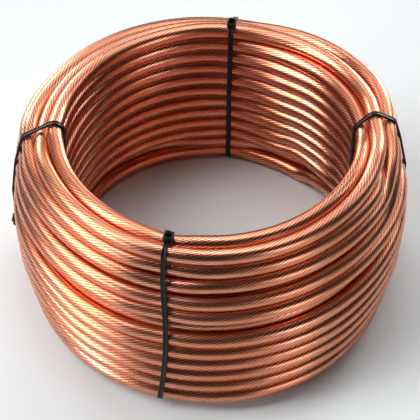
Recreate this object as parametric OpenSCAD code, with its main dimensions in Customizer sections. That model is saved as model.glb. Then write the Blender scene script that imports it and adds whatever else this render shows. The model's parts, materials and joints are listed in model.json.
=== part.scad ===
// Coil of bare stranded copper conductor, held by four cable ties.
// The coil lies flat with its eye upright. The origin is on the eye's axis, in the plane it rests on.
// The turns are modelled as one turned solid: its outline is the outline of the stacked turns.

/* [Conductor] */
// Outer diameter of the stranded conductor
wire_d = 8.2; // [5:0.1:11]

/* [Coil] */
// Diameter of the open eye
eye_d = 144; // [110:1:220]
// Gap between neighbouring turns of a layer
turn_gap = 0.8; // [0:0.1:1.2]
// Turns in the innermost layer
layer_1_turns = 11; // [8:1:18]
// Turns in the second layer
layer_2_turns = 10; // [8:1:18]
// Turns in the third layer
layer_3_turns = 11; // [8:1:18]
// Turns in the outermost layer
layer_4_turns = 8; // [5:1:14]
// How far the grooves between turns are filled, past the line through the turns' centres
groove_fill = 0.9; // [0.5:0.1:1.2]
// How much the innermost and lowest turns are flattened where they bear
bearing_flat = 0.12; // [0.05:0.01:0.3]

/* [Ties] */
// Width of a tie's band
tie_w = 2.5; // [1.8:0.1:4.8]
// Thickness of a tie's band
tie_t = 1.1; // [0.8:0.1:1.6]
// Length of a tie's locking head, along the band
head_l = 5.2; // [3.5:0.1:8]
// Width of a tie's locking head
head_w = 4.6; // [3.5:0.1:8]
// Height of a tie's locking head above the band
head_h = 2.4; // [1.5:0.1:4]
// Length of the trimmed tail that stands out of a top tie's head
top_tail_l = 2.4; // [0.5:0.1:6]
// Length of the trimmed tail that stands out of a side tie's head
side_tail_l = 0.6; // [0.5:0.1:6]
// Height of the two side ties' heads above the floor
side_head_z = 20; // [14:1:40]
// Direction of the front tie, seen from above
front_tie_angle = -104; // [-120:1:-60]
// Direction of the right tie
right_tie_angle = 6; // [-30:1:30]
// Direction of the back tie
back_tie_angle = 82; // [60:1:120]
// Direction of the left tie
left_tie_angle = 180; // [150:1:210]
// Clearance under a tie's band
tie_seat_gap = 0.1; // [0.05:0.05:0.3]
// Clearance at each side of a tie's band
tie_side_gap = 0.3; // [0.1:0.1:0.6]

/* [Hidden] */
$fn = 96;
// Largest angle between the points of a tie's rounded corner
corner_step = 12;
wire_r = wire_d / 2;
eye_r = eye_d / 2;
layer_turns = [layer_1_turns, layer_2_turns, layer_3_turns, layer_4_turns];
turn_pitch = wire_d + turn_gap;
// Turns of one layer lie in the grooves of the layer before it, and touch its turns
layer_pitch = sqrt(pow(wire_d, 2) - pow(turn_pitch / 2, 2));

function layer_r(k) = eye_r + wire_r - bearing_flat + k * layer_pitch;
function turn_z(k, i) = wire_r - bearing_flat + (i + (k % 2) / 2) * turn_pitch;
function highest_z(k) = turn_z(k, layer_turns[k] - 1);

// Centre of every turn, as [radius, height]
turns = [
    for (k = [0 : len(layer_turns) - 1])
        for (i = [0 : layer_turns[k] - 1])
            [layer_r(k), turn_z(k, i)]
];

// Twice the signed area of a triangle: negative where c lies to the right of the line from a to b
function side(a, b, c) = (b[0] - a[0]) * (c[1] - a[1]) - (b[1] - a[1]) * (c[0] - a[0]);
function is_better(a, best, p) =
    p != a && (is_undef(best) || side(a, best, p) < -0.001
        || (abs(side(a, best, p)) <= 0.001 && norm(p - a) > norm(best - a)));
// The turn that a belt pulled round the stack from turn a touches next, counterclockwise
function next_corner(a, best = undef, i = 0) =
    i == len(turns) ? best : next_corner(a, is_better(a, best, turns[i]) ? turns[i] : best, i + 1);
function walk(path) =
    let (found = next_corner(path[len(path) - 1])) found == path[0] ? path : walk(concat(path, [found]));
// The turns at the corners of the stack, from the lowest innermost one round
corners = walk([turns[0]]);

function heading(a, b) = atan2(b[1] - a[1], b[0] - a[0]);
// A belt around the stack, at distance d outside the turns' centres, with an arc at each corner
function belt(d) = [
    for (i = [0 : len(corners) - 1])
        let (
            n = len(corners),
            from = heading(corners[(i + n - 1) % n], corners[i]) - 90,
            turn = (heading(corners[i], corners[(i + 1) % n]) - 90 - from + 720) % 360,
            steps = ceil(turn / corner_step)
        )
            for (s = [0 : steps]) corners[i] + d * [cos(from + turn * s / steps), sin(from + turn * s / steps)]
];

// The ties lie in the squeezed turns, flush with the crests
tie_outer = wire_r - bearing_flat;
tie_inner = tie_outer - tie_t;
top_z = max([for (c = corners) c[1]]) + tie_outer;
belly_r = max([for (c = corners) c[0]]) + tie_outer;
// A head is wider than its band, so it clears the crests beside the seat
head_gap = bearing_flat + tie_seat_gap;
// The run of the belt across the top, which ends at the innermost layer's highest turn
inner_top = [layer_r(0), highest_z(0)];
before_inner_top = [for (i = [1 : len(corners) - 1]) if (corners[i] == inner_top) corners[i - 1]][0];
outermost = len(layer_turns) - 1;

// Lays an outline drawn as [radius, height] across the coil at an angle, with a thickness
module across_coil(angle, thickness)
    rotate([0, 0, angle]) rotate([90, 0, 0]) linear_extrude(thickness, center = true) children();

// A rectangle from one corner to the opposite one
module block(low, high) translate(low) square(high - low);

module turn_outline() {
    for (t = turns) translate(t) circle(wire_r);
    for (k = [0 : len(layer_turns) - 1])
        block([layer_r(k) - groove_fill, turn_z(k, 0)], [layer_r(k) + groove_fill, highest_z(k)]);
    // Fills the gaps between two layers, as high and as low as both of them reach
    for (k = [1 : len(layer_turns) - 1])
        let (fill = wire_r / 2 + groove_fill)
            block([layer_r(k - 1), max(turn_z(k - 1, 0), turn_z(k, 0)) - fill],
                  [layer_r(k), min(highest_z(k - 1), highest_z(k)) + fill]);
}

module tie_seat(angle)
    across_coil(angle, tie_w + 2 * tie_side_gap)
        difference() {
            polygon(belt(wire_d));
            polygon(belt(tie_inner - tie_seat_gap));
        }

// The turns' outline with flats on the innermost crests and on the lowest ones
module bearing_outline()
    intersection() {
        turn_outline();
        block([eye_r, 0], [belly_r + wire_d, top_z + wire_d]);
    }

module wire_coil()
    color([0.78, 0.44, 0.33])
        difference() {
            rotate_extrude() bearing_outline();
            tie_seat(front_tie_angle);
            tie_seat(right_tie_angle);
            tie_seat(back_tie_angle);
            tie_seat(left_tie_angle);
        }

// The locking head, drawn over a band at the origin, with its neck below and the trimmed tail on top
module tie_head(tail_l) {
    translate([-head_l, -tie_w, -tie_t] / 2) cube([head_l, tie_w, tie_t / 2 + head_gap + head_h]);
    translate([-head_l / 2, -head_w / 2, head_gap]) cube([head_l, head_w, head_h]);
    translate([-tie_t / 2, -tie_w / 2, head_gap]) cube([tie_t, tie_w, head_h + tail_l]);
}

module tie_band(angle)
    across_coil(angle, tie_w)
        difference() {
            polygon(belt(tie_outer));
            polygon(belt(tie_inner));
        }

// A head on the straight run of the belt from one turn to the next, centred at a distance past the first
module head_on_run(angle, start, end, distance, tail_l) {
    along = heading(start, end);
    seat = start + distance * [cos(along), sin(along)] + tie_outer * [sin(along), -cos(along)];
    rotate([0, 0, angle]) translate([seat[0], 0, seat[1]]) rotate([0, 180 - along, 0]) tie_head(tail_l);
}

// The head of a top tie starts over the middle of the innermost layer
module top_tie(angle)
    color([0.08, 0.08, 0.09]) {
        tie_band(angle);
        head_on_run(angle, before_inner_top, inner_top,
            norm(inner_top - before_inner_top) - head_l / 2, top_tail_l);
    }

module side_tie(angle)
    color([0.08, 0.08, 0.09]) {
        tie_band(angle);
        head_on_run(angle, [layer_r(outermost), turn_z(outermost, 0)],
            [layer_r(outermost), highest_z(outermost)], side_head_z - turn_z(outermost, 0), side_tail_l);
    }

module tie_front() top_tie(front_tie_angle);
module tie_right() side_tie(right_tie_angle);
module tie_back() top_tie(back_tie_angle);
module tie_left() side_tie(left_tie_angle);

wire_coil();
tie_front();
tie_right();
tie_back();
tie_left();
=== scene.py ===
"""Coil of bare stranded copper wire, held by four cable ties, in a plain pale studio."""

import json
import math
from collections import namedtuple
from functools import lru_cache

import bpy
import numpy as np
from bpy.props import (
    FloatProperty,
    FloatVectorProperty,
    IntProperty,
    IntVectorProperty,
    PointerProperty,
    StringProperty,
)
from mathutils import Matrix, Vector


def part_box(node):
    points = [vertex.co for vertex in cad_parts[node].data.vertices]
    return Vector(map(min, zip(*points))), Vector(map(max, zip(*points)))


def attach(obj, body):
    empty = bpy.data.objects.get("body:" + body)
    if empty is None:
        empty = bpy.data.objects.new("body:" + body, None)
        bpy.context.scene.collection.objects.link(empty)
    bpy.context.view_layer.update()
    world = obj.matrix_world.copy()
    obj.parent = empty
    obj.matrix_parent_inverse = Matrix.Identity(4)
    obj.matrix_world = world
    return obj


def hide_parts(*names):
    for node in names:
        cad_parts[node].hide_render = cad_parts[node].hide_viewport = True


bl_info = {
    "name": "Coil of Bare Copper Wire",
    "version": (1, 0, 0),
    "blender": (4, 5, 0),
    "location": "3D Viewport > Sidebar > Wire Coil",
    "description": "Winds a coil of stranded copper wire, binds it with cable ties and lights it",
    "category": "Object",
}

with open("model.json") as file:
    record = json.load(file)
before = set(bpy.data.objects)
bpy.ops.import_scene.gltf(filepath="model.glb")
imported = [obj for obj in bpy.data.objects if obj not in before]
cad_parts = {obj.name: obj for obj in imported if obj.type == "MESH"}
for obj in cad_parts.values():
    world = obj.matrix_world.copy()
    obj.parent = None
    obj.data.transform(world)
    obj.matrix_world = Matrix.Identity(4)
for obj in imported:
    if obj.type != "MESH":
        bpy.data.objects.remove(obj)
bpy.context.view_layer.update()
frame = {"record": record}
COIL_NODE = "wire_coil"
TIE_NODES = ("tie_front", "tie_right", "tie_back", "tie_left")
TOP_TIES = ("tie_front", "tie_back")
EYE = next(m for m in frame["record"]["mounts"] if m["name"] == "eye")
EYE_RADIUS = EYE["dims"]["r_mm"] / 1000
COIL_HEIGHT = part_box(COIL_NODE)[1].z
UP = np.array((0.0, 0.0, 1.0))


# Settings


class WireSettings(bpy.types.PropertyGroup):
    """Sizes and colours of the stranded wire"""

    diameter: FloatProperty(
        name="Diameter", description="Across the stranded wire", default=0.008, unit="LENGTH"
    )
    strands: IntProperty(
        name="Outer strands", description="Strands that show round the wire",
        default=18, min=6, max=24,
    )
    lay: FloatProperty(
        name="Lay", description="Length of wire in which a strand goes round once",
        default=0.062, unit="LENGTH",
    )
    bright: StringProperty(
        name="Bright copper", description="Colour of freshly drawn strands, sRGB hex",
        default="F5AF94",
    )
    warm: StringProperty(
        name="Warm copper", description="Colour of slightly oxidised strands, sRGB hex",
        default="EE9B73",
    )
    # The groove colour is copper oxide with painted shade: it darkens the dips between strands,
    # where shade falls
    groove: StringProperty(
        name="Groove", description="Colour of the oxide between strands, sRGB hex", default="B05D40"
    )


class WindingSettings(bpy.types.PropertyGroup):
    """How the wire is wound, and the shape of the wound section"""

    turns: IntVectorProperty(
        name="Turns", description="Turns in each layer, from the eye outwards",
        size=4, default=(11, 10, 10, 9),
    )
    start_angle: FloatProperty(
        name="Start",
        description="Direction in which the wire starts, at the foot of the eye, to run clockwise",
        default=math.radians(30), subtype="ANGLE",
    )
    joins: FloatVectorProperty(
        name="Joins",
        description="Turns after which the wire's mesh is split, out of sight inside the coil",
        size=2, default=(15.5, 27.5),
    )
    last_turn: FloatProperty(
        name="Last turn", description="Share of the last turn that the wire fills",
        default=0.9, subtype="FACTOR",
    )
    step_over: FloatProperty(
        name="Step over", description="Share of a turn in which it steps over to the next slot",
        default=0.35, subtype="FACTOR",
    )
    wander: FloatProperty(
        name="Wander", description="How far the outer turns stray from their slots",
        default=0.0015, unit="LENGTH",
    )
    slack: FloatProperty(
        name="Slack", description="How far a turn may bulge between two ties",
        default=0.0006, unit="LENGTH",
    )
    belly: FloatProperty(
        name="Belly", description="From the eye's wall to the outside, half way up",
        default=0.0296, unit="LENGTH",
    )
    shoulder: FloatProperty(
        name="Shoulder", description="How much narrower the section is at the top",
        default=0.0115, unit="LENGTH",
    )
    foot: FloatProperty(
        name="Foot", description="How much narrower the section is at the floor",
        default=0.0075, unit="LENGTH",
    )
    oval: FloatProperty(
        name="Oval",
        description="How much further the coil reaches to front and back, and less to the sides",
        default=0.0012, unit="LENGTH",
    )
    lean: FloatProperty(
        name="Lean",
        description="How much further the top reaches to the back, and the foot to the front",
        default=0.009, unit="LENGTH",
    )
    set_back: FloatProperty(
        name="Set back",
        description="How much further the coil reaches to the back than to the front",
        default=0.003, unit="LENGTH",
    )
    tuck: FloatProperty(
        name="Tuck", description="How much of the set back is lost at the very top",
        default=0.008, unit="LENGTH",
    )
    flare: FloatProperty(
        name="Flare", description="How far the foot spreads at the front, between narrower corners",
        default=0.0025, unit="LENGTH",
    )
    passes: IntProperty(name="Passes", description="Steps in which the turns settle", default=500)


class TieSettings(bpy.types.PropertyGroup):
    """Sizes and colour of the cable ties"""

    width: FloatProperty(
        name="Width", description="Across a tie's band", default=0.0025, unit="LENGTH"
    )
    thickness: FloatProperty(
        name="Thickness", description="Thickness of a tie's band", default=0.0011, unit="LENGTH"
    )
    head: FloatVectorProperty(
        name="Head", description="Length, width and height of a locking head",
        default=(0.0052, 0.0046, 0.0024), unit="LENGTH",
    )
    tail: FloatVectorProperty(
        name="Tail",
        description="Length of each trimmed tail above its head, front, right, back, left",
        size=4, default=(0.0024, 0.0006, 0.0024, 0.0006), unit="LENGTH",
    )
    head_height: FloatProperty(
        name="Side head height", description="Height of the side ties' heads above the floor",
        default=0.02, unit="LENGTH",
    )
    bow: FloatVectorProperty(
        name="Bow",
        description="How far each band bows sideways on the outside, front, right, back, left",
        size=4, default=(0.004, 0.001, 0.001, 0.001), unit="LENGTH",
    )
    nylon: StringProperty(
        name="Nylon", description="Colour of the ties, sRGB hex", default="080809"
    )


class StudioSettings(bpy.types.PropertyGroup):
    """Camera, floor and room"""

    distance: FloatProperty(
        name="Distance", description="From the camera to the middle of the coil",
        default=0.9, unit="LENGTH",
    )
    elevation: FloatProperty(
        name="Elevation", description="Angle at which the camera looks down",
        default=math.radians(46.42), subtype="ANGLE",
    )
    bank: FloatProperty(
        name="Bank", description="Turn of the camera about its own axis",
        default=math.radians(0.42), subtype="ANGLE",
    )
    aim: FloatVectorProperty(
        name="Aim", description="Point that the camera looks at, from the middle of the coil",
        default=(0.00015, -0.0067, -0.0064), subtype="TRANSLATION",
    )
    lens: FloatProperty(name="Lens", description="Focal length in millimetres", default=150.3)
    floor: StringProperty(
        name="Floor", description="Colour of the floor, sRGB hex", default="DFE5E7"
    )
    room: FloatProperty(
        name="Room", description="Light from the room all round, where 1 is white", default=0.02
    )


SETTINGS = {
    "coil_wire": WireSettings,
    "coil_winding": WindingSettings,
    "coil_ties": TieSettings,
    "coil_studio": StudioSettings,
}


# Meshes


def grid_faces(rows, columns, closed):
    """Quads between neighbouring rows of a grid whose rows close on themselves.
    Row i, column j is vertex i * columns + j. With closed, the last row joins the first."""
    row = np.arange(rows if closed else rows - 1)[:, None]
    column = np.arange(columns)[None, :]
    here, there = row * columns, (row + 1) % rows * columns
    after = (column + 1) % columns
    quads = np.stack([here + column, here + after, there + after, there + column], -1)
    return quads.reshape(-1, 4)


def volume_of(points, faces):
    """Six times the volume that the faces close: the triple product of the corners of each
    triangle, and of the two triangles of each quad. It is below zero where the faces point
    inwards."""
    a, b, c = (points[faces[:, k]] for k in range(3))
    total = np.einsum("ij,ij->", a, np.cross(b, c))
    if faces.shape[1] == 4:
        d = points[faces[:, 3]]
        total += np.einsum("ij,ij->", a, np.cross(c, d))
    return total


def build_mesh(name, points, face_sets, sharp=None, fields=None):
    """Makes a mesh object from arrays, with its faces turned outwards. sharp marks vertices whose
    joining edges stay crisp, and fields holds a value or a vector for each vertex, by name."""
    if sum(volume_of(points, faces) for faces in face_sets) < 0:
        face_sets = [faces[:, ::-1] for faces in face_sets]
    mesh = bpy.data.meshes.new(name)
    mesh.vertices.add(len(points))
    mesh.vertices.foreach_set("co", points.astype(np.float32).ravel())
    corners = np.concatenate([faces.ravel() for faces in face_sets])
    sizes = np.concatenate([np.full(len(faces), faces.shape[1]) for faces in face_sets])
    mesh.loops.add(len(corners))
    mesh.loops.foreach_set("vertex_index", corners.astype(np.int32))
    mesh.polygons.add(len(sizes))
    mesh.polygons.foreach_set("loop_start", (np.cumsum(sizes) - sizes).astype(np.int32))
    mesh.update(calc_edges=True)
    mesh.validate()
    if sharp is not None:
        ends = np.empty(2 * len(mesh.edges), np.int32)
        mesh.edges.foreach_get("vertices", ends)
        crisp = sharp[ends.reshape(-1, 2)].all(1)
        mesh.attributes.new("sharp_edge", "BOOLEAN", "EDGE").data.foreach_set("value", crisp)
    for field, values in (fields or {}).items():
        kind, key = ("FLOAT_VECTOR", "vector") if values.ndim == 2 else ("FLOAT", "value")
        data = mesh.attributes.new(field, kind, "POINT").data
        data.foreach_set(key, values.astype(np.float32).ravel())
    piece = bpy.data.objects.new(name, mesh)
    bpy.context.scene.collection.objects.link(piece)
    return piece


def loft(rings, closed=False):
    """Points and faces of a skin over rings of points. An open skin is closed at both ends by a fan
    from the ring's points to their mean."""
    rows, columns = rings.shape[:2]
    points = rings.reshape(-1, 3)
    sides = grid_faces(rows, columns, closed)
    if closed:
        return points, [sides]
    column = np.arange(columns)
    after = (column + 1) % columns
    last = (rows - 1) * columns
    first_fan = np.stack([after, column, np.full(columns, len(points))], -1)
    last_fan = np.stack([last + column, last + after, np.full(columns, len(points) + 1)], -1)
    points = np.concatenate([points, rings[:1].mean(1), rings[-1:].mean(1)])
    return points, [sides, np.concatenate([first_fan, last_fan])]


# Winding

Wire = namedtuple("Wire", "diameter radius strands lay")
Winding = namedtuple(
    "Winding",
    "turns start_angle last_turn step_over wander slack belly shoulder foot oval lean set_back "
    "tuck flare passes",
)
Coil = namedtuple("Coil", "angles points live")

STATIONS = 120  # Directions round the eye's axis at which each turn is placed
FINE_STEPS = 8  # Steps of the wire's path from one station to the next
WANDER_SEED = 3
WANDER_WAVES = 5
LOOSE_IN_EYE, LOOSE_PER_LAYER = 0.15, 0.5  # Share of the wander, and more for each layer
TIE_REACH = math.radians(7)  # How far to either side of a tie its squeeze is felt

# Shares of a distance that one pass of the settling moves a turn
PUSH_APART = 0.7  # Of an overlap, half to each of the two turns
SMOOTH, SMOOTH_EARLY = 0.1, 0.5  # Towards the middle of its neighbours along the wire
HOLD_EARLY = 0.03  # Back to where it was laid
DRAW, TIE_DRAW = 0.0005, 0.003  # Towards the middle of the section, and more at a tie
DRAW_FADE = 0.6  # Share of the draw that is gone by the last pass
DRAW_ACROSS, DRAW_UP = 2, 0.6  # How much of the draw acts across and up
BELLY_PUSH, TOP_PUSH = 0.3, 0.5  # Back from the belly and from the top
SINK = 1e-5  # Metres that a turn sinks in one pass
TINY = 1e-9  # Keeps a division from failing

GROOVE_DEPTH = 0.2  # Share of the full dip between two round strands


def smooth_step(x):
    """0 up to 0, 1 from 1 on, and 3x^2 - 2x^3 between them."""
    x = np.clip(x, 0, 1)
    return x * x * (3 - 2 * x)


def slots(turns, wire):
    """Centre of each turn as (radius, height), in the order in which one wire fills them: up the
    first layer, down the second, and so on. The turns of the first layer are spread over the
    height. Each layer lies in the grooves of the one before it, half a spacing up or down and
    further out by the height of the triangle between three turns that touch."""
    layer = np.repeat(np.arange(len(turns)), turns)
    climb = [np.arange(n) if k % 2 == 0 else np.arange(n)[::-1] for k, n in enumerate(turns)]
    place = np.concatenate(climb)
    spacing = (COIL_HEIGHT - wire.diameter) / (turns[0] - 1)
    radius = EYE_RADIUS + wire.radius + layer * math.sqrt(wire.diameter**2 - (spacing / 2) ** 2)
    height = wire.radius + (place + layer % 2 / 2) * spacing
    return np.stack([radius, height], -1)


def lay_turns(centres, layer_starts, stations, step_over):
    """The wire at every station of every turn, as (radius, height): it keeps to a slot, and steps
    over to the next one by a smooth step round the start of each turn. Into a new layer it takes
    the corner round the turns below it: outwards and then down at the top, down and then outwards
    at the floor."""
    turns = np.arange(len(centres) * stations) / stations
    near = np.round(turns).astype(int)
    step = (turns - near) / step_over + 0.5
    before, after = (centres[np.clip(near - k, 0, len(centres) - 1)] for k in (1, 0))
    share = np.stack([smooth_step(step)] * 2, -1)
    halves = np.stack([smooth_step(2 * step), smooth_step(2 * step - 1)], -1)
    change = np.isin(near, layer_starts[1:-1])
    at_top = before[:, 1] > COIL_HEIGHT / 2
    share[change & at_top] = halves[change & at_top]
    share[change & ~at_top] = halves[change & ~at_top, ::-1]
    return (before * (1 - share) + after * share).reshape(-1, stations, 2)


def stray(rng, turns, stations):
    """A smooth random wave along the whole wire: the sum of five sines of unequal length in turns,
    phase and height, over the root of five."""
    along = np.arange(turns * stations) / stations
    wave = np.zeros_like(along)
    for _ in range(WANDER_WAVES):
        length, phase, height = rng.uniform(0.55, 2.3), rng.uniform(), rng.uniform(0.5, 1)
        wave += height * np.sin(2 * math.pi * (along / length + phase)) / math.sqrt(WANDER_WAVES)
    return wave.reshape(turns, stations)


def section_width(height, winding):
    """Width of the wound section: full half way up, less above and below by the square of the
    distance."""
    up = 2 * height / COIL_HEIGHT - 1
    return winding.belly - np.where(up > 0, winding.shoulder, winding.foot) * up**2


def swelling(height, angles, winding):
    """How much wider the section is in a direction. The sine of the direction sets it back and
    leans it, the double angle makes it oval, and the threefold angle flares the foot."""
    up = 2 * height / COIL_HEIGHT - 1
    back = winding.set_back + winding.lean * up - winding.tuck * np.clip(up, 0, None) ** 4
    flare = winding.flare * np.clip(-up, 0, None) * np.sin(3 * angles)
    return np.sin(angles) * back - winding.oval * np.cos(2 * angles) + flare


def fit_section(points, angles, wire, winding):
    """Fits the turns to the section's width in each direction: a turn keeps its height, and its
    distance from the eye's wall grows or shrinks as the section does."""
    radius, height = points[..., 0], points[..., 1]
    width = section_width(height, winding)
    inner = EYE_RADIUS + wire.radius
    wider = width + swelling(height, angles, winding)
    scale = (wider - wire.diameter) / (width - wire.diameter)
    return np.stack([inner + (radius - inner) * scale, height], -1)


def settle(points, angles, live, bind, wire, winding, tie):
    """Lets the turns settle. In each pass, turns that overlap at a station push each other apart,
    the wire is smoothed along its length, and the turns sink, draw together and stay within the
    eye's wall, the floor and the belly. Where bind nears 1 a tie squeezes them by its thickness."""
    turns, stations = points.shape[:2]
    first, second = np.triu_indices(turns, 1)
    both = live[first] * live[second]
    share = np.zeros((turns, len(first)))
    share[first, np.arange(len(first))] = 1
    share[second, np.arange(len(first))] = -1
    rest, points = points, points.copy()
    squeeze = tie * bind
    for step in range(winding.passes):
        done = step / winding.passes
        apart = points[first] - points[second]
        distance = np.sqrt((apart**2).sum(-1)) + TINY
        overlap = np.clip(wire.diameter - distance, 0, None) * both
        push = (0.5 * overlap / distance)[..., None] * apart
        points += PUSH_APART * (share @ push.reshape(len(first), -1)).reshape(points.shape)
        line = points.reshape(-1, 2)
        smooth = SMOOTH_EARLY * (1 - done) + SMOOTH
        line[1:-1] += smooth * ((line[:-2] + line[2:]) / 2 - line[1:-1])
        points += (rest - points) * HOLD_EARLY * (1 - done) ** 2
        draw = (DRAW + TIE_DRAW * bind) * (1 - DRAW_FADE * done)
        middle = points.mean(0)
        points[..., 0] += (middle[:, 0] - points[..., 0]) * draw * DRAW_ACROSS
        points[..., 1] += (middle[:, 1] - points[..., 1]) * draw * DRAW_UP - SINK
        height = points[..., 1]
        belly = EYE_RADIUS - wire.radius + section_width(height, winding)
        belly += swelling(height, angles, winding)
        belly += winding.slack * (1 - bind) - squeeze
        points[..., 0] -= BELLY_PUSH * np.clip(points[..., 0] - belly, 0, None)
        points[..., 0] = np.maximum(points[..., 0], EYE_RADIUS + wire.radius + squeeze)
        points[..., 1] = np.maximum(points[..., 1], wire.radius + squeeze)
        top = COIL_HEIGHT - wire.radius - squeeze
        points[..., 1] -= TOP_PUSH * np.clip(points[..., 1] - top, 0, None)
    return points


def tie_angles():
    """Direction of each tie from the eye's axis, from the middle of its box."""
    middles = [sum(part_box(name), Vector()) / 2 for name in TIE_NODES]
    return np.array([math.atan2(m.y, m.x) for m in middles])


@lru_cache(maxsize=1)
def wind(wire, winding, tie):
    """The settled winding: its stations' directions, the (radius, height) of every turn at every
    station, and which of them hold wire. tie is the thickness of a tie's band. The turns inside the
    eye wander least, and the outer ones more with each layer."""
    angles = winding.start_angle - 2 * math.pi * np.arange(STATIONS) / STATIONS
    starts = np.concatenate([[0], np.cumsum(winding.turns)])
    points = lay_turns(slots(winding.turns, wire), starts, STATIONS, winding.step_over)
    turns = len(points)
    layers_out = np.clip((points[..., 0] - EYE_RADIUS) / wire.diameter - 1.5, 0, None)
    loose = LOOSE_IN_EYE + layers_out * LOOSE_PER_LAYER
    wave = stray(np.random.default_rng(WANDER_SEED), turns, STATIONS)
    points[..., 1] += winding.wander * wave * loose
    points = fit_section(points, angles, wire, winding)
    away = (angles[:, None] - tie_angles() + math.pi) % (2 * math.pi) - math.pi
    bind = np.exp(-((away / TIE_REACH) ** 2)).max(1)
    live = np.ones((turns, STATIONS), bool)
    live[-1, int(winding.last_turn * STATIONS):] = False
    points = settle(points, angles, live.astype(float), bind, wire, winding, tie)
    return Coil(angles, points, live)


def wire_path(coil, spacing, joins):
    """The wire's centre line: positions at even spacing, their distance along the wire, and the
    rows at its ends and joins. Fine steps are set between the stations on straight lines, smoothed
    by a cosine bell two stations wide, and turned round the eye's axis."""
    line = coil.points.reshape(-1, 2)[coil.live.ravel()]
    stations = len(coil.angles)
    step = np.arange((len(line) - 1) * FINE_STEPS + 1) / FINE_STEPS
    bell = np.hanning(2 * FINE_STEPS + 3)[1:-1]
    fine = []
    for values in line.T:
        dense = np.pad(np.interp(step, np.arange(len(line)), values), FINE_STEPS, mode="edge")
        fine.append(np.convolve(dense, bell / bell.sum(), mode="valid"))
    radius, height = fine
    angle = coil.angles[0] - 2 * math.pi * step / stations
    path = np.stack([radius * np.cos(angle), radius * np.sin(angle), height], -1)
    distance = np.concatenate([[0], np.cumsum(np.linalg.norm(np.diff(path, axis=0), axis=1))])
    rows = round(distance[-1] / spacing)
    even = np.linspace(0, distance[-1], rows + 1)
    path = np.stack([np.interp(even, distance, axis) for axis in path.T], -1)
    splits = distance[[0, *(round(turn * stations * FINE_STEPS) for turn in joins), -1]]
    return path, even, np.round(splits / distance[-1] * rows).astype(int)


def strand_outline(radius, strands):
    """Angle and radius of the points round a stranded wire: one in each groove and one on each
    crown. The strands are circles that touch, so their centres lie at radius / (1 + sin(half
    pitch)) and they touch at that times cos(half pitch). A groove goes GROOVE_DEPTH of the way in
    from the crown to there."""
    half = math.pi / strands
    centre = radius / (1 + math.sin(half))
    groove_radius = radius - GROOVE_DEPTH * (radius - centre * math.cos(half))
    angle = half * np.arange(2 * strands)
    return angle, np.tile([groove_radius, radius], strands)


def wire_rings(path, distance, wire):
    """The stranded outline carried along the path: each row's points lie on spokes between the
    directions across and up. The outline turns round once in a lay, and by one strand from row to
    row."""
    along = np.gradient(path, axis=0)
    along /= np.linalg.norm(along, axis=1)[:, None]
    across = np.cross(along, UP)
    across /= np.linalg.norm(across, axis=1)[:, None]
    upward = np.cross(across, along)
    angle, radius = strand_outline(wire.radius, wire.strands)
    turned = angle + (2 * math.pi * distance / wire.lay)[:, None]
    spoke = np.cos(turned)[..., None] * across[:, None]
    spoke += np.sin(turned)[..., None] * upward[:, None]
    return path[:, None] + radius[None, :, None] * spoke


def build_wire(name, rings, distance):
    """One length of wire as a mesh. The field strand_place is (cosine, sine, distance) of a
    vertex's place round and along the wire, and crown is 1 on a strand and 0 in a groove."""
    points, faces = loft(rings)
    rows, columns = rings.shape[:2]
    groove = np.concatenate([np.tile(np.arange(columns), rows) % 2 == 0, [False, False]])
    end = np.zeros(len(points), bool)
    end[:columns] = end[-columns - 2:-2] = True
    angle = np.linspace(0, 2 * math.pi, columns, endpoint=False)
    round_wire = np.tile(np.stack([np.cos(angle), np.sin(angle)], -1), (rows, 1))
    place = np.concatenate([round_wire, np.repeat(distance, columns)[:, None]], -1)
    place = np.concatenate([place, np.zeros((2, 3))])
    # crown also places the groove colour, oxide with painted shade, between the strands
    fields = {"strand_place": place, "crown": 1.0 - groove}
    return build_mesh(name, points, faces, groove | end, fields)


# Ties

BELT_POINTS = 360
BELT_HEADINGS = 721  # Twice the points, and the first again at the end
# Outline of a band from edge to edge and back, as shares of half its width and half its
# thickness: rounded edges, and a raised rail along each
BAND_SIDE = np.array([-1, -0.92, -0.7, -0.55, 0.55, 0.7, 0.92, 1, 1, 0.9, -0.9, -1])
BAND_RISE = np.array([0.6, 1, 1, 0.75, 0.75, 1, 1, 0.6, -0.7, -1, -1, -0.7])
HEAD_EDGE = 0.0004  # Radius of a head's soft edges, in metres
CORNER_STEPS = 4
# A head reaches this share of half the band's thickness into the band. Its slot is larger than the
# band by these shares, and the slot's floor and the tail's foot lie at these shares of its height.
HEAD_SUNK = 0.4
SLOT_LENGTH, SLOT_WIDTH = 1.9, 1.12
SLOT_FLOOR, TAIL_FOOT = 0.35, 0.3
TAIL_TIP_LENGTH, TAIL_TIP_WIDTH = 0.8, 0.94  # Shares of the band at the cut end of the tail


def belt_line(coil, angle, offset):
    """The line of a belt pulled round the turns at one direction: for each heading, the turn that
    reaches furthest that way, plus the offset; resampled at even spacing. Returns (radius, height)
    rows."""
    turn = (coil.angles[0] - angle) / (2 * math.pi) % 1 * len(coil.angles)
    at = int(turn)
    part = turn - at
    after = (at + 1) % len(coil.angles)
    centres = coil.points[:, at] * (1 - part) + coil.points[:, after] * part
    centres = centres[coil.live[:, at]]
    heading = np.linspace(0, 2 * math.pi, BELT_HEADINGS)
    outward = np.stack([np.cos(heading), np.sin(heading)], -1)
    line = centres[np.argmax(outward @ centres.T, axis=1)] + offset * outward
    distance = np.concatenate([[0], np.cumsum(np.linalg.norm(np.diff(line, axis=0), axis=1))])
    even = np.linspace(0, distance[-1], BELT_POINTS, endpoint=False)
    return np.stack([np.interp(even, distance, axis) for axis in line.T], -1)


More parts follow.
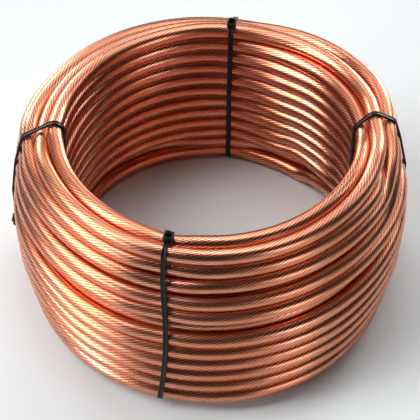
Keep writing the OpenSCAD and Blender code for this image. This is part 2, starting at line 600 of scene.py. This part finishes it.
def band_rings(line, angle, bow, tie):
    """The band's outline carried round the belt line. On the outside the line bows sideways by a
    half sine of its height."""
    along = np.roll(line, -1, 0) - np.roll(line, 1, 0)
    along /= np.linalg.norm(along, axis=1)[:, None]
    outward = np.stack([along[:, 1], -along[:, 0]], -1)
    side, rise = BAND_SIDE * tie.width / 2, BAND_RISE * tie.thickness / 2
    middle = line[:, 0].mean()
    outside = smooth_step((line[:, 0] - middle) / (line[:, 0].max() - middle))
    sideways = bow * outside * np.sin(math.pi * np.clip(line[:, 1] / COIL_HEIGHT, 0, 1))
    plane = line[:, None] + rise[None, :, None] * outward[:, None]
    return from_section(plane[..., 0], side + sideways[:, None], plane[..., 1], angle)


def from_section(radius, sideways, height, angle):
    """Points at a radius and a height in the upright plane at an angle, moved sideways from it: the
    radius times the outward direction plus sideways times the direction across it."""
    x = radius * math.cos(angle) + sideways * -math.sin(angle)
    y = radius * math.sin(angle) + sideways * math.cos(angle)
    return np.stack([x, y, height], -1)


def rounded_rectangle(length, width, corner):
    """Points round a rectangle whose corners are quarter circles: one quarter, turned by a right
    angle from corner to corner."""
    turn = np.linspace(0, math.pi / 2, CORNER_STEPS)
    quarter = corner * np.stack([np.cos(turn), np.sin(turn)], -1)
    corners = []
    for k, (sx, sy) in enumerate([(1, 1), (-1, 1), (-1, -1), (1, -1)]):
        spin = np.array([[math.cos(k * math.pi / 2), math.sin(k * math.pi / 2)],
                         [-math.sin(k * math.pi / 2), math.cos(k * math.pi / 2)]])
        middle = np.array([sx * (length / 2 - corner), sy * (width / 2 - corner)])
        corners.append(quarter @ spin + middle)
    return np.concatenate(corners)


def stack_rings(levels):
    """Rings of rounded rectangles, one for each (length, width, corner, height) level."""
    outlines = np.stack([rounded_rectangle(*level[:3]) for level in levels])
    heights = np.array([level[3] for level in levels])[:, None, None]
    return np.concatenate([outlines, np.broadcast_to(heights, (*outlines.shape[:2], 1))], -1)


def head_shape(tie, tail):
    """The locking head, over a band at the origin: a box with soft edges whose top opens in a slot,
    and the trimmed tail that stands out of the slot."""
    length, width, height = tie.head
    soft, base = HEAD_EDGE, tie.thickness / 2
    foot, top = -base * HEAD_SUNK, base + height
    slot_length, slot_width = tie.thickness * SLOT_LENGTH, tie.width * SLOT_WIDTH
    box = stack_rings([
        (length - 2 * soft, width - 2 * soft, soft, foot),
        (length, width, soft, foot + soft),
        (length, width, soft, top - soft),
        (length - 2 * soft, width - 2 * soft, soft, top),
        (slot_length + soft, slot_width + soft, soft / 2, top),
        (slot_length, slot_width, soft / 2, top - soft),
        (slot_length, slot_width, soft / 2, base + height * SLOT_FLOOR),
    ])
    tip = top + tail
    stub = stack_rings([
        (tie.thickness, tie.width, soft / 2, base + height * TAIL_FOOT),
        (tie.thickness, tie.width, soft / 2, tip - soft),
        (tie.thickness * TAIL_TIP_LENGTH, tie.width * TAIL_TIP_WIDTH, soft / 2, tip),
    ])
    return [box, stub]


def place_head(rings, line, angle, at):
    """Sets a head's rings on the belt line at row at: its length along the line, its height
    outwards."""
    here = line[at]
    along = line[(at + 3) % len(line)] - line[at - 3]
    along /= np.linalg.norm(along)
    outward = np.array([along[1], -along[0]])
    plane = here + rings[..., :1] * along + rings[..., 2:] * outward
    return from_section(plane[..., 0], rings[..., 1], plane[..., 1], angle)


def join_shapes(shapes):
    """One set of points and faces from several."""
    points, quads, triangles, count = [], [], [], 0
    for part_points, part_faces in shapes:
        for faces in part_faces:
            (quads if faces.shape[1] == 4 else triangles).append(faces + count)
        points.append(part_points)
        count += len(part_points)
    return np.concatenate(points), [np.concatenate(f) for f in (quads, triangles) if f]


def tie_shape(coil, name, angle, bow, tail, wire, tie):
    """Band, head and tail of one tie. The head sits at the row of the belt line with the lowest
    score."""
    line = belt_line(coil, angle, wire.radius + tie.thickness / 2)
    parts = [loft(band_rings(line, angle, bow, tie), closed=True)]
    if name in TOP_TIES:
        # On top, over the middle of the innermost layer
        score = abs(line[:, 0] - (EYE_RADIUS + wire.radius + tie.head[0] / 2)) - 10 * line[:, 1]
    else:
        # Low on the outside
        score = abs(line[:, 1] - tie.head_height) - 10 * line[:, 0]
    at = int(np.argmin(score))
    for rings in head_shape(tie, tail):
        parts.append(loft(place_head(rings, line, angle, at)))
    return join_shapes(parts)


# Materials


def linear(code):
    """Linear RGBA of an sRGB hex colour."""
    parts = [int(code[k:k + 2], 16) / 255 for k in (0, 2, 4)]
    parts = [c / 12.92 if c <= 0.04045 else ((c + 0.055) / 1.055) ** 2.4 for c in parts]
    return (*parts, 1.0)


def add_node(tree, kind, inputs=None, **settings):
    """Adds a node, sets its properties, and gives its sockets values or links."""
    new = tree.nodes.new(kind)
    for name, value in settings.items():
        setattr(new, name, value)
    for socket, value in (inputs or {}).items():
        if isinstance(value, bpy.types.NodeSocket):
            tree.links.new(value, new.inputs[socket])
        else:
            new.inputs[socket].default_value = value
    return new


def per_metre(millimetres):
    """Pattern scale whose features are about this size."""
    return 1000 / millimetres


def new_material(name):
    """An empty material with its shader and output, and its node tree."""
    material = bpy.data.materials.new(name)
    material.use_nodes = True
    tree = material.node_tree
    tree.nodes.clear()
    shader = add_node(tree, "ShaderNodeBsdfPrincipled")
    add_node(tree, "ShaderNodeOutputMaterial", {"Surface": shader.outputs["BSDF"]})
    return material, tree, shader


def bare_copper(wire):
    """Bare copper strands, drawn and twisted: bright and warm strands side by side, tarnish in
    drifts, and dark oxide with painted shade in the grooves, which makes the twist read."""
    material, tree, shader = new_material("drawn bare copper")
    place = add_node(tree, "ShaderNodeAttribute", attribute_name="strand_place")
    crown = add_node(tree, "ShaderNodeAttribute", attribute_name="crown")
    # Strand to strand: about one tone for each strand, changing every 80 mm of wire
    stretch = add_node(
        tree, "ShaderNodeMapping", {"Vector": place.outputs["Vector"], "Scale": (1.6, 1.6, 12.0)}
    )
    tone = add_node(
        tree, "ShaderNodeTexNoise",
        {"Vector": stretch.outputs["Vector"], "Scale": 1.0, "Detail": 1.0},
    )
    # Drifts of tarnish across the coil, about 40 mm wide
    coords = add_node(tree, "ShaderNodeTexCoord")
    drift = add_node(
        tree, "ShaderNodeTexNoise",
        {"Vector": coords.outputs["Object"], "Scale": per_metre(40), "Detail": 3.0},
    )
    blend = add_node(
        tree, "ShaderNodeMath", {0: tone.outputs["Fac"], 1: drift.outputs["Fac"]}, operation="ADD"
    )
    share = add_node(
        tree, "ShaderNodeMapRange",
        {"Value": blend.outputs["Value"], "From Min": 0.8, "From Max": 1.25},
    )
    # Sockets 6 and 7 are the two colours of a colour mix, and 2 is its result
    metal = add_node(
        tree, "ShaderNodeMix",
        {"Factor": share.outputs["Result"], 6: linear(wire.bright), 7: linear(wire.warm)},
        data_type="RGBA",
    )
    # Oxide with painted shade: the groove colour darkens each dip between strands, found by the
    # crown field
    rise = add_node(
        tree, "ShaderNodeMapRange",
        {"Value": crown.outputs["Fac"], "From Min": 0.1, "From Max": 0.75},
    )
    colour = add_node(
        tree, "ShaderNodeMix",
        {"Factor": rise.outputs["Result"], 6: linear(wire.groove), 7: metal.outputs[2]},
        data_type="RGBA",
    )
    # Drawn metal is smooth, and a little rougher where it is tarnished
    rough = add_node(
        tree, "ShaderNodeMapRange",
        {"Value": drift.outputs["Fac"], "From Min": 0.3, "From Max": 0.7,
         "To Min": 0.25, "To Max": 0.35},
    )
    tree.links.new(colour.outputs[2], shader.inputs["Base Color"])
    tree.links.new(rough.outputs["Result"], shader.inputs["Roughness"])
    shader.inputs["Metallic"].default_value = 1.0
    return material


def moulded_nylon(ties):
    """Black nylon 6.6, injection moulded: near black with a soft sheen and a faint grain that
    breaks it."""
    material, tree, shader = new_material("moulded black nylon")
    coords = add_node(tree, "ShaderNodeTexCoord")
    # Grain of the mould, about 0.4 mm, coarser than the real one so that it shows
    grain = add_node(
        tree, "ShaderNodeTexNoise",
        {"Vector": coords.outputs["Object"], "Scale": per_metre(0.4), "Detail": 2.0},
    )
    bump = add_node(
        tree, "ShaderNodeBump",
        {"Height": grain.outputs["Fac"], "Strength": 0.15, "Distance": 0.0002},
    )
    rough = add_node(
        tree, "ShaderNodeMapRange", {"Value": grain.outputs["Fac"], "To Min": 0.34, "To Max": 0.5}
    )
    tree.links.new(rough.outputs["Result"], shader.inputs["Roughness"])
    tree.links.new(bump.outputs["Normal"], shader.inputs["Normal"])
    shader.inputs["Base Color"].default_value = linear(ties.nylon)
    shader.inputs["IOR"].default_value = 1.53
    # The grain takes half of the gloss that the IOR alone would give
    shader.inputs["Specular IOR Level"].default_value = 0.25
    return material


def matte_floor(studio):
    """Matte painted board: pale, even and faintly mottled, so that the coil's shadow reads
    softly."""
    material, tree, shader = new_material("matte painted board")
    coords = add_node(tree, "ShaderNodeTexCoord")
    # Mottle of the paint, about 250 mm wide
    mottle = add_node(
        tree, "ShaderNodeTexNoise",
        {"Vector": coords.outputs["Object"], "Scale": per_metre(250), "Detail": 2.0},
    )
    rough = add_node(
        tree, "ShaderNodeMapRange", {"Value": mottle.outputs["Fac"], "To Min": 0.55, "To Max": 0.7}
    )
    tree.links.new(rough.outputs["Result"], shader.inputs["Roughness"])
    shader.inputs["Base Color"].default_value = linear(studio.floor)
    return material


# Operators


def wire_sizes(settings):
    """The wire's sizes."""
    return Wire(settings.diameter, settings.diameter / 2, settings.strands, settings.lay)


def wound_coil(scene):
    """The winding that the scene's settings give. It is worked out once for both operators."""
    settings = scene.coil_winding
    others = (getattr(settings, name) for name in Winding._fields[1:])
    winding = Winding(tuple(settings.turns), *others)
    return wind(wire_sizes(scene.coil_wire), winding, scene.coil_ties.thickness)


class COIL_OT_set_camera(bpy.types.Operator):
    """Place the camera in front of the coil, looking down at it"""

    bl_idname = "coil.set_camera"
    bl_label = "Set Camera"

    def execute(self, context):
        studio = context.scene.coil_studio
        middle = Vector((0, 0, COIL_HEIGHT / 2))
        back = Vector((0, -math.cos(studio.elevation), math.sin(studio.elevation)))
        camera = bpy.data.objects.new("camera", bpy.data.cameras.new("camera"))
        camera.data.lens = studio.lens
        camera.data.clip_start = 0.05
        camera.location = middle + studio.distance * back
        gaze = middle + Vector(studio.aim) - camera.location
        bank = Matrix.Rotation(studio.bank, 3, "Z")
        camera.rotation_euler = (gaze.to_track_quat("-Z", "Y").to_matrix() @ bank).to_euler()
        context.scene.collection.objects.link(camera)
        context.scene.camera = camera
        return {"FINISHED"}


class COIL_OT_wind_wire(bpy.types.Operator):
    """Wind the stranded wire, in three lengths that meet out of sight"""

    bl_idname = "coil.wind_wire"
    bl_label = "Wind Wire"

    def execute(self, context):
        scene = context.scene
        wire = wire_sizes(scene.coil_wire)
        coil = wound_coil(scene)
        path, distance, ends = wire_path(coil, wire.lay / wire.strands, scene.coil_winding.joins)
        rings = wire_rings(path, distance, wire)
        material = bare_copper(scene.coil_wire)
        for k, (first, last) in enumerate(zip(ends[:-1], ends[1:]), start=1):
            rows = slice(first, last + 1)
            piece = build_wire(f"wire_length_{k}", rings[rows], distance[rows])
            piece.data.materials.append(material)
            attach(piece, "root")
            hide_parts(COIL_NODE)
        return {"FINISHED"}


class COIL_OT_fit_ties(bpy.types.Operator):
    """Pull the four cable ties round the turns"""

    bl_idname = "coil.fit_ties"
    bl_label = "Fit Ties"

    def execute(self, context):
        scene = context.scene
        wire, tie = wire_sizes(scene.coil_wire), scene.coil_ties
        coil = wound_coil(scene)
        material = moulded_nylon(tie)
        for name, angle, bow, tail in zip(TIE_NODES, tie_angles(), tie.bow, tie.tail):
            points, faces = tie_shape(coil, name, angle, bow, tail, wire, tie)
            piece = build_mesh("cable_" + name, points, faces)
            piece.data.materials.append(material)
            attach(piece, "root")
            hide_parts(name)
        return {"FINISHED"}


LAMP_DISTANCE = 2.2
LAMP_SPREAD = math.radians(50)
# Name, azimuth and elevation in degrees, side in metres, power in watts
LAMPS = (
    ("left light", -172, 36, 0.8, 1.9),
    ("high left light", 180, 60, 0.9, 1.6),
    ("low left light", -150, 14, 0.7, 1.5),
    ("back left light", 120, 14, 0.8, 1.8),
    ("low back light", 60, 13, 0.8, 2.9),
    ("high back light", 95, 42, 1.0, 0.6),
    ("right light", 30, 38, 0.8, 0.4),
    ("low right light", -48, 13, 0.6, 0.6),
    ("top light", 80, 74, 1.1, 1.4),
)
FLOOR_HALF = 3.0  # Metres from the middle of the floor to its edges


def add_lamp(name, place, size, power):
    """A square soft light that faces the middle of the coil."""
    lamp = bpy.data.lights.new(name, "AREA")
    lamp.size, lamp.energy, lamp.spread = size, power, LAMP_SPREAD
    light = bpy.data.objects.new(name, lamp)
    light.location = place
    gaze = Vector((0, 0, COIL_HEIGHT / 2)) - light.location
    light.rotation_euler = gaze.to_track_quat("-Z", "Y").to_euler()
    bpy.context.scene.collection.objects.link(light)


def from_middle(azimuth, elevation, distance):
    """A point at a direction and a distance from the middle of the coil."""
    a, e = math.radians(azimuth), math.radians(elevation)
    return Vector((math.cos(a) * math.cos(e), math.sin(a) * math.cos(e), math.sin(e))) * distance


class COIL_OT_set_stage(bpy.types.Operator):
    """Lay the pale floor and set the soft lights"""

    bl_idname = "coil.set_stage"
    bl_label = "Set Stage"

    def execute(self, context):
        studio = context.scene.coil_studio
        corners = FLOOR_HALF * np.array([(-1, -1, 0), (1, -1, 0), (1, 1, 0), (-1, 1, 0)])
        floor_mesh = bpy.data.meshes.new("floor")
        floor_mesh.from_pydata(corners.tolist(), [], [(0, 1, 2, 3)])
        floor = bpy.data.objects.new("floor", floor_mesh)
        floor_mesh.materials.append(matte_floor(studio))
        context.scene.collection.objects.link(floor)
        for name, azimuth, elevation, size, power in LAMPS:
            add_lamp(name, from_middle(azimuth, elevation, LAMP_DISTANCE), size, power)
        world = bpy.data.worlds.new("studio")
        context.scene.world = world
        world.use_nodes = True
        world.node_tree.nodes.clear()
        tree = world.node_tree
        room = add_node(
            tree, "ShaderNodeBackground", {"Color": (1, 1, 1, 1), "Strength": studio.room}
        )
        add_node(tree, "ShaderNodeOutputWorld", {"Surface": room.outputs["Background"]})
        context.scene.view_settings.view_transform = "Standard"
        return {"FINISHED"}


OPERATORS = (COIL_OT_set_camera, COIL_OT_wind_wire, COIL_OT_fit_ties, COIL_OT_set_stage)


class COIL_PT_sidebar(bpy.types.Panel):
    """Sizes and steps of the wire coil"""

    bl_label = "Wire Coil"
    bl_space_type = "VIEW_3D"
    bl_region_type = "UI"
    bl_category = "Wire Coil"

    def draw(self, context):
        for name, group in SETTINGS.items():
            box = self.layout.box()
            for prop in group.__annotations__:
                box.prop(getattr(context.scene, name), prop)
        for operator in OPERATORS:
            self.layout.operator(operator.bl_idname)


CLASSES = (*SETTINGS.values(), *OPERATORS, COIL_PT_sidebar)


def register():
    """Adds the classes and the scene's settings."""
    for cls in CLASSES:
        bpy.utils.register_class(cls)
    for name, group in SETTINGS.items():
        setattr(bpy.types.Scene, name, PointerProperty(type=group))


def unregister():
    """Takes away what register adds."""
    for name in SETTINGS:
        delattr(bpy.types.Scene, name)
    for cls in reversed(CLASSES):
        bpy.utils.unregister_class(cls)


def main():
    """Makes the coil, its ties and its studio."""
    register()
    bpy.ops.coil.set_camera()
    bpy.ops.coil.wind_wire()
    bpy.ops.coil.fit_ties()
    bpy.ops.coil.set_stage()


if __name__ == "__main__":
    main()
